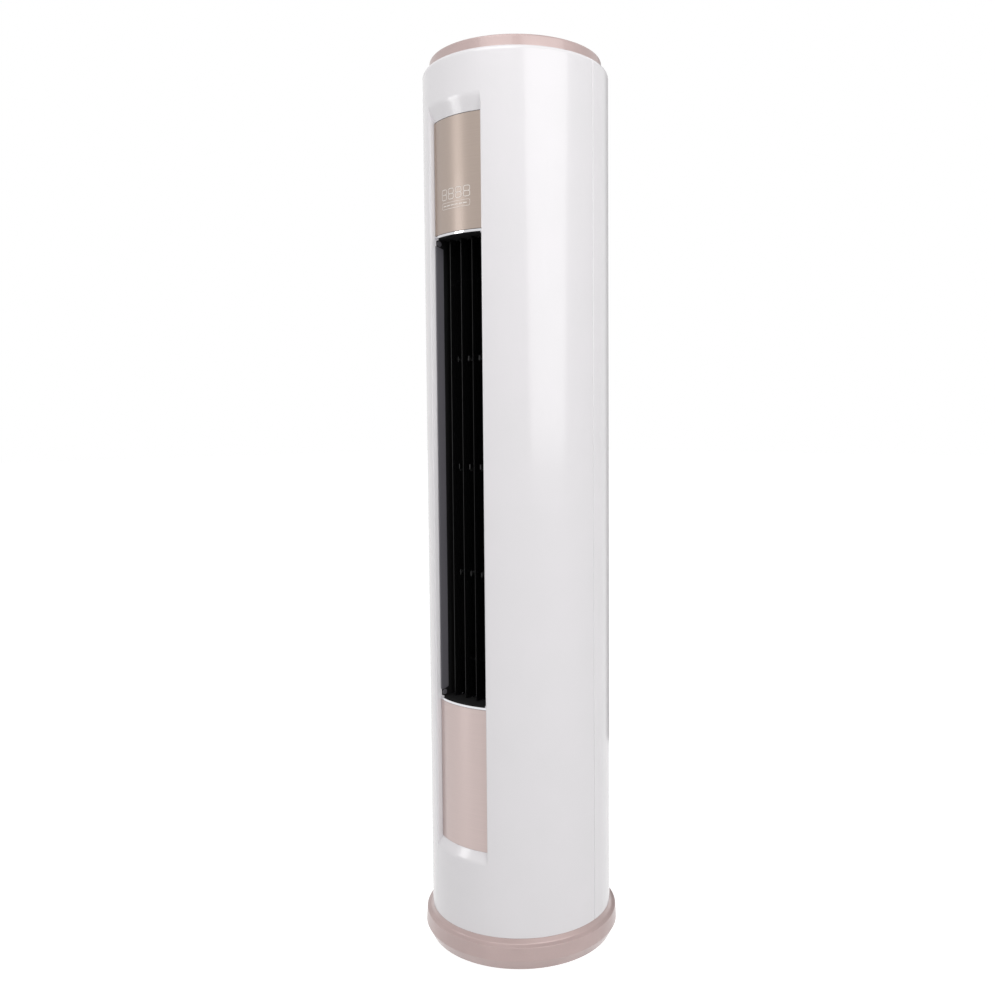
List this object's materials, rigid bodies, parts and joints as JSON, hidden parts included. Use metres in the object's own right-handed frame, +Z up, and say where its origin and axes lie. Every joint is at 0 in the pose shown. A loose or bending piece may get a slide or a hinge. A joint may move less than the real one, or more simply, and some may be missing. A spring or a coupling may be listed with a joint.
{
  "type": "floor standing air conditioner",
  "caption": "Round floor standing air conditioner cabinet with a tall recessed air outlet, linked upright vanes, a cross-flow fan and a pull-off rear intake grille.",
  "frame": {"origin": "on the floor under the cabinet's axis", "axes": "+Z up along the cabinet's axis, -Y out of the air outlet at the front, +X to the right seen from the front"},
  "size_m": [0.408, 0.408, 1.811],
  "materials": {
    "gloss_white": "high-gloss moulded ABS, pearl white",
    "rose_gold": "satin rose-gold metallic paint on ABS",
    "champagne": "fine-brushed champagne film behind clear plastic",
    "rose_brushed": "brushed rose-gold panel",
    "chrome": "bright plated strip",
    "black_gloss": "gloss black moulded vane",
    "black_matte": "matt black moulding",
    "grey_plastic": "smooth dark grey moulding",
    "sheet_steel": "galvanised sheet",
    "fin_aluminium": "fin stock",
    "copper": "bare copper tube",
    "rubber": "moulded rubber",
    "circuit_board": "solder mask",
    "filter_net": "fine nylon net"
  },
  "bodies": {
    "casing": {"base_skirt": "rose_gold", "base_pan": "sheet_steel", "foot_pad_1": "rubber", "foot_pad_2": "rubber", "foot_pad_3": "rubber", "foot_pad_4": "rubber", "front_shell": "gloss_white", "rear_shell": "gloss_white", "service_cover": "gloss_white", "top_ring": "rose_gold", "top_cover": "gloss_white", "display_panel": "champagne", "display_board": "circuit_board", "upper_trim": "chrome", "lower_trim": "chrome", "lower_panel": "rose_brushed", "duct_floor": "black_matte", "duct_roof": "black_matte", "scroll_wall": "black_matte", "tongue_wall": "black_matte", "side_liner_left": "grey_plastic", "side_liner_right": "grey_plastic", "vane_support_1": "black_matte", "vane_support_2": "black_matte", "vane_support_3": "black_matte", "swing_motor": "black_matte", "fan_motor": "sheet_steel", "fan_bearing": "rubber", "coil_fins": "fin_aluminium", "coil_end_left": "copper", "coil_end_right": "copper", "drain_tray": "black_matte", "gas_pipe": "copper", "liquid_pipe": "copper", "lower_deck": "sheet_steel", "upper_deck": "sheet_steel", "side_post_left": "sheet_steel", "side_post_right": "sheet_steel", "top_plate": "sheet_steel", "control_box": "sheet_steel", "control_cover": "sheet_steel", "control_board": "circuit_board", "terminal_block": "black_matte", "pipe_grommet": "rubber", "wall_bracket": "sheet_steel"},
    "driven_vane": {"vane_1": "black_gloss", "swing_shaft": "sheet_steel"},
    "second_vane": {"vane_2": "black_gloss"},
    "third_vane": {"vane_3": "black_gloss"},
    "fourth_vane": {"vane_4": "black_gloss"},
    "link_bars": {"upper_link_bar": "black_matte", "lower_link_bar": "black_matte"},
    "fan_rotor": {"cross_flow_fan": "black_matte", "drive_shaft": "sheet_steel", "idler_shaft": "sheet_steel"},
    "intake_cover": {"intake_grille": "gloss_white", "filter_frame": "grey_plastic", "filter_net": "filter_net"}
  },
  "joints": [
    {"name": "vane_swing", "type": "hinge", "parent": "casing", "child": "driven_vane", "pos_m": [-0.04651, -0.126, 0.9835], "axis": [0, 0, 1], "range_deg": [-40, 40]},
    {"name": "second_vane_swing", "type": "hinge", "parent": "casing", "child": "second_vane", "pos_m": [-0.0155, -0.126, 0.9835], "axis": [0, 0, 1], "range_deg": [-40, 40]},
    {"name": "third_vane_swing", "type": "hinge", "parent": "casing", "child": "third_vane", "pos_m": [0.0155, -0.126, 0.9835], "axis": [0, 0, 1], "range_deg": [-40, 40]},
    {"name": "fourth_vane_swing", "type": "hinge", "parent": "casing", "child": "fourth_vane", "pos_m": [0.04651, -0.126, 0.9835], "axis": [0, 0, 1], "range_deg": [-40, 40]},
    {"name": "link_bar_pivot", "type": "hinge", "parent": "driven_vane", "child": "link_bars", "pos_m": [-0.04651, -0.111, 0.9835], "axis": [0, 0, 1], "range_deg": [-40, 40]},
    {"name": "fan_spin", "type": "hinge", "parent": "casing", "child": "fan_rotor", "pos_m": [0, -0.018, 0.9835], "axis": [0, 0, 1], "continuous": true},
    {"name": "grille_pull", "type": "slide", "parent": "casing", "child": "intake_cover", "axis": [0, 1, 0], "range_m": [0, 0.2]}
  ],
  "couplings": [
    {"joint": "second_vane_swing", "follows": "vane_swing", "ratio": 1},
    {"joint": "third_vane_swing", "follows": "vane_swing", "ratio": 1},
    {"joint": "fourth_vane_swing", "follows": "vane_swing", "ratio": 1},
    {"joint": "link_bar_pivot", "follows": "vane_swing", "ratio": -1}
  ]
}
